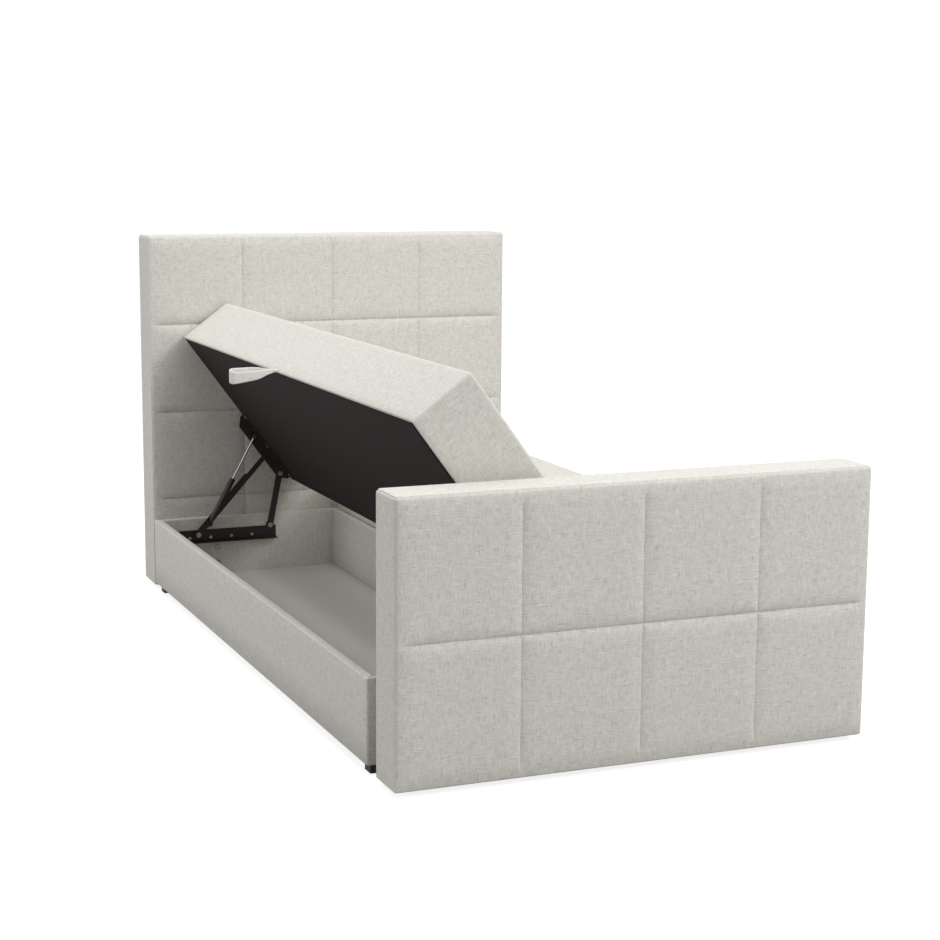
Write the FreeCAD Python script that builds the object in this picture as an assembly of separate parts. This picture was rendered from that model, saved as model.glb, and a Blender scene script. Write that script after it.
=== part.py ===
import FreeCAD, Part
import math
import os

V = FreeCAD.Vector

# Sizes are millimetres. X runs across the bed, +Y towards the head, +Z up from the floor.

# Box
bed_width = 1200.0
box_length = 2000.0
box_height = 204.0          # walls with their cover, above the feet
board = 18.0                # wall and divider boards
outer_cover = 3.0           # padded fabric outside and over the wall tops
lining = 2.0                # fabric on the inside of the walls
box_corner = 14.0           # upright corners of the cover
cover_edge = 2.4            # rounded edge along the wall tops
divider_cover = 2.5
ledge = 18.0                # square strips that carry the floor panels
floor_panel = 4.0
panel_play = 1.0            # floor panel to lining
wall_screw_shank = 3.0
wall_screw_head = 5.0
wall_screw_head_deep = 4.0
wall_screw_length = 50.0
wall_screw_heights = (55.0, 145.0)   # above the underside of the box
hole_play = 0.1

# Feet
foot_height = 25.0
foot_side = 42.0
foot_inset = 15.0
foot_edge = 4.0
foot_screw_shank = 3.0
foot_screw_head = 6.5
foot_screw_head_deep = 4.0
foot_screw_recess = 12.0
foot_screw_bite = 14.0

# Headboard and footboard
headboard_depth = 140.0
headboard_height = 1107.0
footboard_depth = 130.0
footboard_height = 657.0
footboard_gap = 55.0        # box to footboard, bridged by spacers
panel_clear = 15.0          # floor to the underside of both boards
front_pad = 30.0
rear_pad = 20.0
side_pad = 18.0
pad_round = 14.0
round_step = 1.0            # the rear edges are a little tighter
bottom_round = 6.0          # fabric is drawn tight under the boards
rear_round = 8.0
front_board = 8.0
inner_board = 6.0
rail = 40.0                 # frame members
stile_place = 400.0         # inner stiles, in line with the bolts
back_cloth = 2.0
columns = 4
headboard_rows = 4
footboard_rows = 2
seam_end = 36.0             # sewn lines stop this far from the edges
seam_half = 2.0
seam_deep = 7.0
pillow_half = 40.0
pillow_deep = 2.4
bolt_shank = 4.0
bolt_head = 9.0
bolt_head_deep = 5.0
bolt_bite = 45.0            # length inside the inner stile
bolt_heights = (55.0, 105.0)         # above the underside of the box
spacer_side = 60.0

# Lids
lid_seat = 1.0              # wall top to lid underside
lid_thickness = 176.0
lid_crown = 6.0
lid_round = 12.0
lid_meet = 7.0              # centre plane to the inner edge
lid_lean = 15.0             # the inner side draws in towards the top
lid_head_gap = 15.0         # lid to headboard
lid_foot_reach = 20.0       # lid past the foot end of the box
lid_fabric = 3.0
lid_fit = 0.3
dust_cloth = 1.0
dust_inset = 4.0
frame_height = 60.0
frame_rail = 22.0
end_rail_reach = 42.0       # end rails reach this far inside the end walls
cross_slats = 3
base_board = 6.0
spring_height = 80.0
pocket_pitch = 62.0
pocket_half = 30.0
pocket_waist = 22.0

# Pull straps
strap_length = 133.0
strap_width = 36.0
strap_fabric = 2.2
raised_gap = 28.0           # room for fingers between the two layers
hanging_gap = 12.0
strap_root = 2.4
strap_closed = 30.0         # sewn together up to here
strap_open = 64.0           # full gap from here
strap_tab = 8.0             # sewn along the side of the lid
strap_off = 1.2             # hanging strap to the box
tab_thick = 4.0

# Lifting linkage. It grows with the width of a lid: arms and lid pivots are shares of half the bed's width.
# Lid pivots are measured from the centre plane and below the closed lid.
lid_open_angle = 53.5
turn_beyond = 24.0          # turning centre of the whole lift, past the centre plane
turn_above = 14.0           # and above the closed lid's edge
long_arm = bed_width / 2.0 * 0.5517
short_arm = bed_width / 2.0 * 0.285
long_pivot_out = bed_width / 2.0 * 0.2283
long_pivot_down = 24.5
short_pivot_out = bed_width / 2.0 * 0.095
short_pivot_down = 21.5
gas_pivot_out = bed_width / 2.0 * 0.3533
gas_pivot_down = 17.0
gas_seat = 50.0             # gas cylinder's pivot along the long arm
bracket_plate = 3.0
arm_plate = 4.0
arm_play = 0.5
rivet_play = 0.3
rivet_thin = 2.0
rivet_shank = 5.0
rivet_head = 8.0
spacer_collar = 9.0
pivot_play = 0.08
long_wide_up = 13.0         # long arm's upper edge above its axis, to the step
long_narrow_up = 7.0        # and past it, clear of the gas pivot
long_down = 8.0
step_past_gas = 7.0         # step in the long arm's upper edge, past the lid's gas pivot
long_base_round = 13.0
short_half = 10.0
base_plate_low = 125.0      # above the underside of the box
base_plate_high = 165.0
base_plate_out = 60.0       # past the long arm's pivot
base_plate_in = 20.0        # past the short arm's pivot
base_flange = 22.0
ear = 13.0
lid_plate_in = 30.0         # past the short arm's lid pivot, towards the centre
lid_plate_out = 76.0        # past the gas pivot
lid_plate_down = 35.0
lid_plate_taper = 24.0
lid_flange = 22.0
screw_shank = 2.5
screw_head = 5.0
screw_head_deep = 2.0
screw_bite = 15.0
base_screws = 4
lid_screws = 3

# Gas springs
gas_radius = 9.0
gas_clear = 2.0
gas_eye_half = 5.0
gas_eye = 9.0
gas_stud = 4.0
gas_neck = 4.2
gas_body_start = 14.0
rod_radius = 4.0
rod_play = 0.1
rod_shown = 47.0            # rod outside the cylinder with the lid closed
rod_guided = 14.0           # rod inside the cylinder with the lid open
rod_end_play = 8.0
rod_eye = 8.0
lid_stud = 4.5

# Derived places
half = bed_width / 2.0
wall = outer_cover + board + lining
box_bottom = foot_height
box_top = foot_height + box_height
board_top = box_top - outer_cover
total_length = headboard_depth + box_length + footboard_gap + footboard_depth
head_y = total_length / 2.0 - headboard_depth
foot_y = head_y - box_length
head_in = head_y - wall
foot_in = foot_y + wall
side_in = half - wall
divider_half = board / 2.0 + divider_cover
footboard_back = foot_y - footboard_gap
footboard_front = footboard_back - footboard_depth
headboard_back = head_y + headboard_depth
headboard_top = panel_clear + headboard_height
footboard_top = panel_clear + footboard_height

lid_bottom = box_top + lid_seat
lid_top = lid_bottom + lid_thickness
lid_head = head_y - lid_head_gap
lid_foot = foot_y - lid_foot_reach
frame_low = lid_bottom + dust_cloth
frame_top = frame_low + frame_height
springs_low = frame_top + base_board
springs_top = springs_low + spring_height
turn_centre = V(turn_beyond, 0, lid_top + turn_above)

# Distances from an end wall's inner face to the layers of the linkage
short_near = bracket_plate + arm_play
short_far = short_near + arm_plate
cap_far = short_far + rivet_play + rivet_thin
lid_near = cap_far + arm_play
lid_far = lid_near + bracket_plate
long_near = lid_far + arm_play
long_far = long_near + arm_plate
gas_mid = long_far + gas_clear + gas_radius
eye_near = gas_mid - gas_eye_half
eye_far = gas_mid + gas_eye_half

ends = ((head_in, -1.0), (foot_in, 1.0))


# Small helpers
def box(x0, x1, y0, y1, z0, z1):
    return Part.makeBox(x1 - x0, y1 - y0, z1 - z0, V(x0, y0, z0))


def round_x(y, z, x0, x1, radius):
    return Part.makeCylinder(radius, x1 - x0, V(x0, y, z), V(1, 0, 0))


def round_y(x, z, y0, y1, radius):
    return Part.makeCylinder(radius, y1 - y0, V(x, y0, z), V(0, 1, 0))


def round_z(x, y, z0, z1, radius):
    return Part.makeCylinder(radius, z1 - z0, V(x, y, z0), V(0, 0, 1))


def line(a, b):
    return Part.LineSegment(a, b).toShape()


def arc(a, b, c):
    return Part.Arc(a, b, c).toShape()


def polygon_face(points):
    return Part.Face(Part.makePolygon(list(points) + [points[0]]))


def cut_all(shape, tools):
    return shape.cut(Part.makeCompound(tools)) if tools else shape


def joined(shapes):
    return shapes[0].multiFuse(shapes[1:]).removeSplitter()


def mirrored(shapes):
    return [s.mirror(V(0, 0, 0), V(1, 0, 0)) for s in shapes]


def turned(point, angle, centre):
    a = math.radians(angle)
    d = point.sub(centre)
    return centre.add(V(d.x * math.cos(a) + d.z * math.sin(a), 0, d.z * math.cos(a) - d.x * math.sin(a)))


def layer(end, near, far):
    y_wall, inward = end
    return sorted((y_wall + inward * near, y_wall + inward * far))


def slab(face, end, near, far):
    y0, y1 = layer(end, near, far)
    solid = face.extrude(V(0, y1 - y0, 0))
    solid.translate(V(0, y0, 0))
    return solid


def disc(x, z, end, near, far, radius):
    y0, y1 = layer(end, near, far)
    return round_y(x, z, y0, y1, radius)


# Linkage geometry in the X,Z plane, for the left lid
def angle_of(a, b):
    return math.degrees(math.atan2(b.z - a.z, b.x - a.x))


def lid_pivot(out, down):
    closed = V(-out, 0, lid_bottom - down)
    return closed, turned(closed, lid_open_angle, turn_centre)


def base_pivot(closed, opened, length):
    middle = closed.add(opened).multiply(0.5)
    chord = opened.sub(closed)
    across = V(-chord.z, 0, chord.x).normalize()
    return middle.add(across.multiply(math.sqrt(length ** 2 - (chord.Length / 2.0) ** 2)))


long_lid = lid_pivot(long_pivot_out, long_pivot_down)
short_lid = lid_pivot(short_pivot_out, short_pivot_down)
gas_lid = lid_pivot(gas_pivot_out, gas_pivot_down)
long_base = base_pivot(long_lid[0], long_lid[1], long_arm)
short_base = base_pivot(short_lid[0], short_lid[1], short_arm)
long_angles = [angle_of(long_base, p) for p in long_lid]
short_angles = [angle_of(short_base, p) for p in short_lid]


def gas_place(state):
    a = math.radians(long_angles[state])
    low = long_base.add(V(math.cos(a), 0, math.sin(a)).multiply(gas_seat))
    return low, angle_of(low, gas_lid[state]), low.distanceToPoint(gas_lid[state])


gas_closed = gas_place(0)[2]
gas_open = gas_place(1)[2]
gas_body_end = gas_closed - rod_shown
rod_length = gas_open - gas_body_end + rod_guided
gas_bore_start = gas_closed - rod_length - rod_end_play


# Screws and bolts of the box. A grown screw is the tool that cuts its hole.
def screw_heights():
    return [box_bottom + h for h in wall_screw_heights]


def wall_screws(grow):
    found = []
    for side in (-1, 1):
        face = side * (half - outer_cover)
        for y in (head_y - outer_cover - board / 2.0, foot_y + outer_cover + board / 2.0):
            for z in screw_heights():
                found.append(along("x", face, -side, y, z, grow))
    for face, inward in ((head_y - outer_cover, -1), (foot_y + outer_cover, 1)):
        for z in screw_heights():
            found.append(along("y", face, inward, 0.0, z, grow))
    return found


def along(axis, face, inward, across, z, grow):
    def piece(depth, radius):
        a, b = sorted((face, face + inward * depth))
        if axis == "x":
            return round_x(across, z, a, b, radius + grow)
        return round_y(across, z, a, b, radius + grow)
    shank = piece(wall_screw_length + grow, wall_screw_shank)
    return joined([shank, piece(wall_screw_head_deep, wall_screw_head)])


def bolts(grow):
    found = []
    depths = ((head_in, 1, wall + front_pad + front_board + bolt_bite),
              (foot_in, -1, wall + footboard_gap + rear_pad + inner_board + bolt_bite))
    for face, outward, depth in depths:
        for x in (-stile_place, stile_place):
            for h in bolt_heights:
                a, b = sorted((face, face + outward * (depth + grow)))
                shank = round_y(x, box_bottom + h, a, b, bolt_shank + grow)
                c, d = sorted((face, face - outward * bolt_head_deep))
                head = round_y(x, box_bottom + h, c, d, bolt_head)
                found.append(shank if grow else joined([shank, head]))
    return found


def base_screw_places():
    left = long_base.x - base_plate_out
    right = short_base.x - 2.0 * ear
    step = (right - left) / base_screws
    return [left + step * (i + 0.5) for i in range(base_screws)]


def base_bracket_screws(grow):
    z = box_bottom + (base_plate_low + base_plate_high) / 2.0 - screw_head
    found = []
    for end in ends:
        for x in base_screw_places():
            for side in (1, -1):
                shank = disc(side * x, z, end, -screw_bite, bracket_plate, screw_shank + grow)
                cap = disc(side * x, z, end, bracket_plate, bracket_plate + screw_head_deep, screw_head)
                found.append(shank if grow else joined([shank, cap]))
    return found


# Box
def foot_places():
    x = half - foot_inset - foot_side / 2.0
    y0 = foot_y + foot_inset + foot_side / 2.0
    y1 = head_y - foot_inset - foot_side / 2.0
    return [(sx * x, y) for sx in (-1, 1) for y in (y0, y1)]


def foot_screws(grow):
    found = []
    for x, y in foot_places():
        shank = round_z(x, y, foot_screw_recess, box_bottom + foot_screw_bite + grow, foot_screw_shank + grow)
        cap_low = 0.0 if grow else foot_screw_recess - foot_screw_head_deep
        cap = round_z(x, y, cap_low, foot_screw_recess, foot_screw_head + 5.0 * grow)
        found.append(joined([shank, cap]))
    return found


def feet():
    found = []
    for x, y in foot_places():
        r = foot_side / 2.0
        block = box(x - r, x + r, y - r, y + r, 0, foot_height)
        upright = [e for e in block.Edges if abs(e.Vertexes[0].Z - e.Vertexes[1].Z) > r]
        found.append(block.makeFillet(foot_edge, upright))
    holes = foot_screws(hole_play)
    return [f.cut(h) for f, h in zip(found, holes)]


def box_boards():
    holes = wall_screws(hole_play) + bolts(hole_play)
    holes += base_bracket_screws(hole_play) + foot_screws(hole_play)
    x1 = half - outer_cover
    x0 = x1 - board
    y0 = foot_y + outer_cover
    y1 = head_y - outer_cover
    shapes = {
        "left_wall_board": box(-x1, -x0, y0, y1, box_bottom, board_top),
        "right_wall_board": box(x0, x1, y0, y1, box_bottom, board_top),
        "head_wall_board": box(-x0, x0, y1 - board, y1, box_bottom, board_top),
        "foot_wall_board": box(-x0, x0, y0, y0 + board, box_bottom, board_top),
        "centre_divider_board": box(-board / 2.0, board / 2.0, foot_in, head_in, box_bottom, board_top),
    }
    return {name: [cut_all(s, holes)] for name, s in shapes.items()}


def box_cover():
    outer = box(-half, half, foot_y, head_y, box_bottom, box_top)
    upright = [e for e in outer.Edges if abs(e.Vertexes[0].Z - e.Vertexes[1].Z) > board]
    outer = outer.makeFillet(box_corner, upright)
    outer = outer.cut(box(-side_in, side_in, foot_in, head_in, box_bottom - 1, box_top + 1))
    top = [e for e in outer.Edges if min(v.Z for v in e.Vertexes) > box_top - 0.01]
    outer = outer.makeFillet(cover_edge, top)
    x1 = half - outer_cover
    y0 = foot_y + outer_cover
    y1 = head_y - outer_cover
    ring = box(-x1, x1, y0, y1, box_bottom - 1, board_top)
    ring = ring.cut(box(board - x1, x1 - board, y0 + board, y1 - board, box_bottom - 2, board_top + 1))
    holes = wall_screws(hole_play) + bolts(hole_play) + base_bracket_screws(hole_play)
    return cut_all(outer.cut(ring), holes)


def divider_sleeve():
    outer = box(-divider_half, divider_half, foot_in, head_in, box_bottom, box_top)
    return outer.cut(box(-board / 2.0, board / 2.0, foot_in - 1, head_in + 1, box_bottom - 1, board_top))


def floor_ledges():
    z0 = box_bottom
    z1 = box_bottom + ledge
    left = [
        box(-side_in, ledge - side_in, foot_in, head_in, z0, z1),
        box(-divider_half - ledge, -divider_half, foot_in, head_in, z0, z1),
        box(ledge - side_in, -divider_half - ledge, head_in - ledge, head_in, z0, z1),
        box(ledge - side_in, -divider_half - ledge, foot_in, foot_in + ledge, z0, z1),
    ]
    holes = foot_screws(hole_play)
    return [cut_all(s, holes) for s in left + mirrored(left)]


def floor_panels():
    low = box_bottom + ledge
    left = box(panel_play - side_in, -divider_half - panel_play, foot_in + panel_play, head_in - panel_play,
               low, low + floor_panel)
    return {"left_floor_panel": [left], "right_floor_panel": mirrored([left])}


# Upholstered boards
def soft_block(y0, y1, top, back_round):
    block = box(-half, half, y0, y1, panel_clear, top)
    upper = [e for e in block.Edges if max(v.Z for v in e.Vertexes) > panel_clear + 0.01
             and min(v.Y for v in e.Vertexes) < y1 - 0.01]
    block = block.makeFillet(pad_round, upper)
    back = [e for e in block.Edges if min(v.Y for v in e.Vertexes) > y1 - 0.01
            and max(v.Z for v in e.Vertexes) > panel_clear + 0.01]
    block = block.makeFillet(back_round, back)
    lower = [e for e in block.Edges if max(v.Z for v in e.Vertexes) < panel_clear + 0.01]
    return block.makeFillet(bottom_round, lower)


def seam_tool(start, finish, y):
    # A sewn line: a narrow fold with a shallow dip on both sides, rounded at both ends.
    d = finish.sub(start)
    a = V(0, y - 1, 0)
    b = V(0, y + seam_deep, 0)
    c = V(seam_half, y + pillow_deep, 0)
    e = V(pillow_half, y, 0)
    f = V(pillow_half, y - 1, 0)
    bend = V((seam_half + pillow_half) / 2.0, y + pillow_deep * 0.3, 0)
    half_face = Part.Face(Part.Wire([line(a, b), line(b, c), arc(c, bend, e), line(e, f), line(f, a)]))
    whole = half_face.extrude(V(0, 0, d.Length))
    other = whole.mirror(V(0, 0, 0), V(1, 0, 0))
    caps = [half_face.revolve(V(0, 0, 0), V(0, 1, 0), 360.0)]
    caps.append(caps[0].copy())
    caps[1].translate(V(0, 0, d.Length))
    tool = whole.multiFuse([other] + caps)
    tool.rotate(V(0, 0, 0), V(0, 1, 0), math.degrees(math.atan2(d.x, d.z)))
    tool.translate(start)
    return tool


def seam_grid(y, top, rows):
    tools = []
    for i in range(1, columns):
        x = -half + bed_width * i / columns
        tools.append(seam_tool(V(x, 0, panel_clear + seam_end), V(x, 0, top - seam_end), y))
    for i in range(1, rows):
        z = panel_clear + (top - panel_clear) * i / rows
        tools.append(seam_tool(V(seam_end - half, 0, z), V(half - seam_end, 0, z), y))
    return tools


def frame_bars(y0, y1, z0, z1):
    x1 = half - side_pad
    bars = [box(-x1, x1, y0, y1, z0, z0 + rail), box(-x1, x1, y0, y1, z1 - rail, z1)]
    for x in (rail / 2.0 - x1, -stile_place, stile_place, x1 - rail / 2.0):
        bars.append(box(x - rail / 2.0, x + rail / 2.0, y0, y1, z0 + rail, z1 - rail))
    return bars


def headboard():
    holes = bolts(hole_play)
    x1 = half - side_pad
    z0 = panel_clear + side_pad
    z1 = headboard_top - side_pad
    y_board = head_y + front_pad
    y_frame = y_board + front_board
    y_cloth = headboard_back - back_cloth
    pad = soft_block(head_y, headboard_back, headboard_top, rear_round)
    pad = pad.cut(box(-x1, x1, y_board, headboard_back + 1, z0, z1))
    for tool in seam_grid(head_y, headboard_top, headboard_rows):
        pad = pad.cut(tool)
    return {
        "headboard_pad": [cut_all(pad, holes)],
        "headboard_board": [cut_all(box(-x1, x1, y_board, y_frame, z0, z1), holes)],
        "headboard_frame": [cut_all(b, holes) for b in frame_bars(y_frame, y_cloth, z0, z1)],
        "headboard_back_cloth": [box(-x1, x1, y_cloth, headboard_back, z0, z1)],
    }


def footboard():
    holes = bolts(hole_play)
    x1 = half - side_pad
    z0 = panel_clear
    z1 = footboard_top - side_pad
    y0 = footboard_front + front_pad
    y1 = footboard_back - rear_pad
    pad = soft_block(footboard_front, footboard_back, footboard_top, pad_round - round_step)
    pad = pad.cut(box(-x1, x1, y0, y1, z0 - 1, z1))
    for tool in seam_grid(footboard_front, footboard_top, footboard_rows):
        pad = pad.cut(tool)
    boards = [box(-x1, x1, y0, y0 + inner_board, z0, z1), box(-x1, x1, y1 - inner_board, y1, z0, z1)]
    bars = frame_bars(y0 + inner_board, y1 - inner_board, z0, z1)
    return {
        "footboard_pad": [cut_all(pad, holes)],
        "footboard_boards": [cut_all(b, holes) for b in boards],
        "footboard_frame": [cut_all(b, holes) for b in bars],
        "footboard_spacers": spacers(holes),
    }


def spacers(holes):
    r = spacer_side / 2.0
    found = []
    for x in (-stile_place, stile_place):
        low = box_bottom + bolt_heights[0] - r
        high = box_bottom + bolt_heights[-1] + r
        found.append(cut_all(box(x - r, x + r, footboard_back, foot_y, low, high), holes))
    return found


# Lids, built closed on the left side
def inner_edge(height, inset):
    return -(lid_meet + lid_lean * height / lid_thickness + inset)


def lid_form(inset):
    x0 = inset - half
    z1 = lid_top - inset
    low = inner_edge(0.0, inset)
    high = inner_edge(lid_thickness, inset)
    y0 = lid_foot + inset
    y1 = lid_head - inset
    corners = [V(x0, y0, lid_bottom), V(low, y0, lid_bottom), V(high, y0, z1), V(x0, y0, z1)]
    crown = arc(corners[2], V((high + x0) / 2.0, y0, z1 + lid_crown), corners[3])
    wire = Part.Wire([line(corners[0], corners[1]), line(corners[1], corners[2]), crown,
                      line(corners[3], corners[0])])
    solid = Part.Face(wire).extrude(V(0, y1 - y0, 0))
    edges = [e for e in solid.Edges if max(v.Z for v in e.Vertexes) > lid_bottom + 1.0]
    return solid.makeFillet(lid_round - inset, edges)


def lid_shell():
    inside = lid_form(lid_fabric)
    inside = inside.fuse(box(lid_fabric - half, inner_edge(0.0, lid_fabric), lid_foot + lid_fabric,
                             lid_head - lid_fabric, lid_bottom - 1, lid_bottom + 1))
    return lid_form(0.0).cut(inside)


def lid_frame(inside, holes):
    x0 = lid_fabric + lid_fit - half
    x1 = inner_edge(frame_top - lid_bottom, lid_fabric + lid_fit)
    y0 = lid_foot + lid_fabric + lid_fit
    y1 = lid_head - lid_fabric - lid_fit
    head_rail = head_in - end_rail_reach
    foot_rail = foot_in + end_rail_reach
    bars = [
        box(x0, x0 + frame_rail, y0, y1, frame_low, frame_top),
        box(x1 - frame_rail, x1, y0, y1, frame_low, frame_top),
        box(x0 + frame_rail, x1 - frame_rail, head_rail, y1, frame_low, frame_top),
        box(x0 + frame_rail, x1 - frame_rail, y0, foot_rail, frame_low, frame_top),
    ]
    for i in range(1, cross_slats + 1):
        y = foot_rail + (head_rail - foot_rail) * i / (cross_slats + 1.0)
        bars.append(box(x0 + frame_rail, x1 - frame_rail, y - frame_rail / 2.0, y + frame_rail / 2.0,
                        frame_low, frame_top))
    return [cut_all(b.common(inside), holes) for b in bars]


def spring_strip(x, y0, pockets):
    # One sewn string of pockets: a scalloped outline raised to the height of the springs.
    edges = []
    for i in range(pockets):
        a = y0 + i * pocket_pitch
        b = a + pocket_pitch
        edges.append(arc(V(x + pocket_waist, a, springs_low),
                         V(x + pocket_half, (a + b) / 2.0, springs_low),
                         V(x + pocket_waist, b, springs_low)))
    y1 = y0 + pockets * pocket_pitch
    edges.append(line(V(x + pocket_waist, y1, springs_low), V(x - pocket_waist, y1, springs_low)))
    for i in reversed(range(pockets)):
        a = y0 + i * pocket_pitch
        edges.append(arc(V(x - pocket_waist, a + pocket_pitch, springs_low),
                         V(x - pocket_half, a + pocket_pitch / 2.0, springs_low),
                         V(x - pocket_waist, a, springs_low)))
    edges.append(line(V(x - pocket_waist, y0, springs_low), V(x + pocket_waist, y0, springs_low)))
    return Part.Face(Part.Wire(edges)).extrude(V(0, 0, spring_height))


def lid_springs():
    x0 = lid_fabric - half
    x1 = inner_edge(springs_top - lid_bottom, lid_fabric)
    rows = int((x1 - x0 - 2.0 * lid_fit) // pocket_pitch)
    length = lid_head - lid_foot - 2.0 * (lid_fabric + lid_fit)
    pockets = int(length // pocket_pitch)
    y0 = (lid_head + lid_foot - pockets * pocket_pitch) / 2.0
    first = (x0 + x1 - (rows - 1) * pocket_pitch) / 2.0
    return [spring_strip(first + i * pocket_pitch, y0, pockets) for i in range(rows)]


def lid_bracket_screws(grow):
    y_places = [sum(layer(end, lid_far, lid_far + lid_flange)) / 2.0 for end in ends]
    left = -(gas_pivot_out + lid_plate_out) + 2.0 * screw_head
    right = -(short_pivot_out - lid_plate_in) - 2.0 * screw_head
    found = []
    for y in y_places:
        for i in range(lid_screws):
            x = left + (right - left) * i / (lid_screws - 1.0)
            low = lid_bottom - bracket_plate
            shank = round_z(x, y, low, lid_bottom + dust_cloth + screw_bite, screw_shank + grow)
            cap = round_z(x, y, low - screw_head_deep, low, screw_head)
            found.append(shank if grow else joined([shank, cap]))
    return found


def lid_bracket(end):
    x0 = -(gas_pivot_out + lid_plate_out)
    x1 = -(short_pivot_out - lid_plate_in)
    z0 = lid_bottom - lid_plate_down
    shoulder = lid_bottom - lid_plate_down / 3.0
    points = [V(x0, 0, lid_bottom), V(x0, 0, shoulder), V(x0 + lid_plate_taper, 0, z0),
              V(x1 - lid_plate_taper, 0, z0), V(x1, 0, shoulder), V(x1, 0, lid_bottom)]
    plate = slab(polygon_face(points), end, lid_near, lid_far)
    y0, y1 = layer(end, lid_near, lid_far + lid_flange)
    flange = box(x0, x1, y0, y1, lid_bottom - bracket_plate, lid_bottom)
    return cut_all(joined([plate, flange]), lid_bracket_screws(hole_play))


def lid_rivets(end):
    x, z = short_lid[0].x, short_lid[0].z
    short_rivet = joined([
        disc(x, z, end, short_near + rivet_play, lid_near, rivet_shank),
        disc(x, z, end, short_far + rivet_play, lid_near, rivet_head),
    ])
    caps = [short_rivet, disc(x, z, end, lid_far, lid_far + rivet_thin, rivet_head)]
    x, z = long_lid[0].x, long_lid[0].z
    caps.append(disc(x, z, end, lid_near - rivet_thin, lid_near, rivet_head))
    x, z = gas_lid[0].x, gas_lid[0].z
    caps.append(disc(x, z, end, lid_far, eye_near - 3.0 * rivet_play - rivet_thin, lid_stud))
    caps.append(disc(x, z, end, lid_near - rivet_thin, lid_near, rivet_head))
    return caps


def lid_pieces():
    holes = lid_bracket_screws(hole_play)
    fit = lid_fabric + lid_fit
    inside = lid_form(fit)
    layer_board = box(-half, 0.0, lid_foot, lid_head, frame_top, springs_low)
    foam = inside.cut(box(-half, half, lid_foot, lid_head, lid_bottom - 1, springs_top))
    dust = box(dust_inset - half, inner_edge(0.0, dust_inset), lid_foot + dust_inset, lid_head - dust_inset,
               lid_bottom, frame_low)
    return {
        "lid_cover": [lid_shell()],
        "lid_dust_cover": [cut_all(dust, holes)],
        "lid_frame": lid_frame(inside, holes),
        "lid_base_board": [layer_board.common(inside)],
        "lid_spring_strips": lid_springs(),
        "lid_foam": [foam],
        "lid_brackets": [lid_bracket(end) for end in ends],
        "lid_bracket_screws": lid_bracket_screws(0.0),
        "lid_rivets": [r for end in ends for r in lid_rivets(end)],
    }


# Pull straps
def strap_loop(gap):
    # Seen along its width: a runs away from the lid, b across the two layers.
    h = gap / 2.0 + strap_fabric
    g = gap / 2.0
    tip = strap_length - h
    p = [V(0, -strap_root, 0), V(strap_open, -h, 0), V(tip, -h, 0), V(strap_length, 0, 0), V(tip, h, 0),
         V(strap_open, h, 0), V(0, strap_root, 0)]
    outer = Part.Wire([line(p[0], p[1]), line(p[1], p[2]), arc(p[2], p[3], p[4]), line(p[4], p[5]),
                       line(p[5], p[6]), line(p[6], p[0])])
    q = [V(strap_closed, 0, 0), V(strap_open, -g, 0), V(tip, -g, 0), V(tip + g, 0, 0), V(tip, g, 0),
         V(strap_open, g, 0)]
    inner = Part.Wire([line(q[0], q[1]), line(q[1], q[2]), arc(q[2], q[3], q[4]), line(q[4], q[5]),
                       line(q[5], q[0])])
    return Part.Face(outer).cut(Part.Face(inner))


strap_y = (lid_head + lid_foot) / 2.0


def raised_strap():
    # Stands out level from the open lid's lower edge, edge upright, narrow at its root.
    loop = strap_loop(raised_gap).extrude(V(0, 0, 2.0 * strap_width))
    loop.translate(V(0, 0, -strap_width))
    a = math.radians(lid_open_angle)
    tab = V(-math.sin(a) * strap_tab, 0, math.cos(a) * strap_tab)
    seat = V(math.cos(a), 0, math.sin(a)).multiply(lid_fit)
    low = strap_width * 0.75
    high = strap_width * 0.25
    past = strap_length + 1
    points = [seat, seat.add(tab), V(strap_closed, 0, high), V(past, 0, high), V(past, 0, -low),
              V(strap_closed, 0, -strap_width / 3.0)]
    reach = raised_gap + strap_fabric * 4.0
    side = polygon_face(points).extrude(V(0, 2.0 * reach, 0))
    side.translate(V(0, -reach, 0))
    root = box(-strap_tab, 1.0, -strap_root, strap_root, -strap_width, strap_width)
    solid = loop.fuse(root).common(side).removeSplitter()
    solid = solid.mirror(V(0, 0, 0), V(1, 0, 0))
    edge = turned(V(-half, 0, lid_bottom), lid_open_angle, turn_centre)
    solid.translate(V(edge.x, strap_y, edge.z))
    return solid


def hanging_strap():
    # Hangs down the outside of the box from the closed lid's lower edge.
    loop = strap_loop(hanging_gap).extrude(V(0, 0, strap_width))
    loop.rotate(V(0, 0, 0), V(1, 0, 0), 90)
    loop.rotate(V(0, 0, 0), V(0, 1, 0), 90)
    middle = half + strap_off + hanging_gap / 2.0 + strap_fabric
    loop.translate(V(middle, strap_y + strap_width / 2.0, lid_bottom + tab_thick))
    tab = box(half + lid_fit, middle + strap_root, strap_y - strap_width / 2.0, strap_y + strap_width / 2.0,
              lid_bottom + lid_fit, lid_bottom + tab_thick)
    return joined([loop, tab])


# Linkage pieces, built for the left side
def base_bracket(end):
    x0 = long_base.x - base_plate_out
    x1 = short_base.x + base_plate_in
    z0 = box_bottom + base_plate_low
    z1 = box_bottom + base_plate_high
    y0, y1 = layer(end, 0.0, bracket_plate)
    f0, f1 = layer(end, 0.0, base_flange)
    pieces = [box(x0, x1, y0, y1, z0, z1), box(x0, x1, f0, f1, z0, z0 + bracket_plate)]
    for p in (long_base, short_base):
        pieces.append(disc(p.x, p.z, end, 0.0, bracket_plate, ear))
        pieces.append(box(p.x - ear, p.x + ear, y0, y1, z0, p.z))
    return cut_all(joined(pieces), base_bracket_screws(hole_play))


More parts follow.
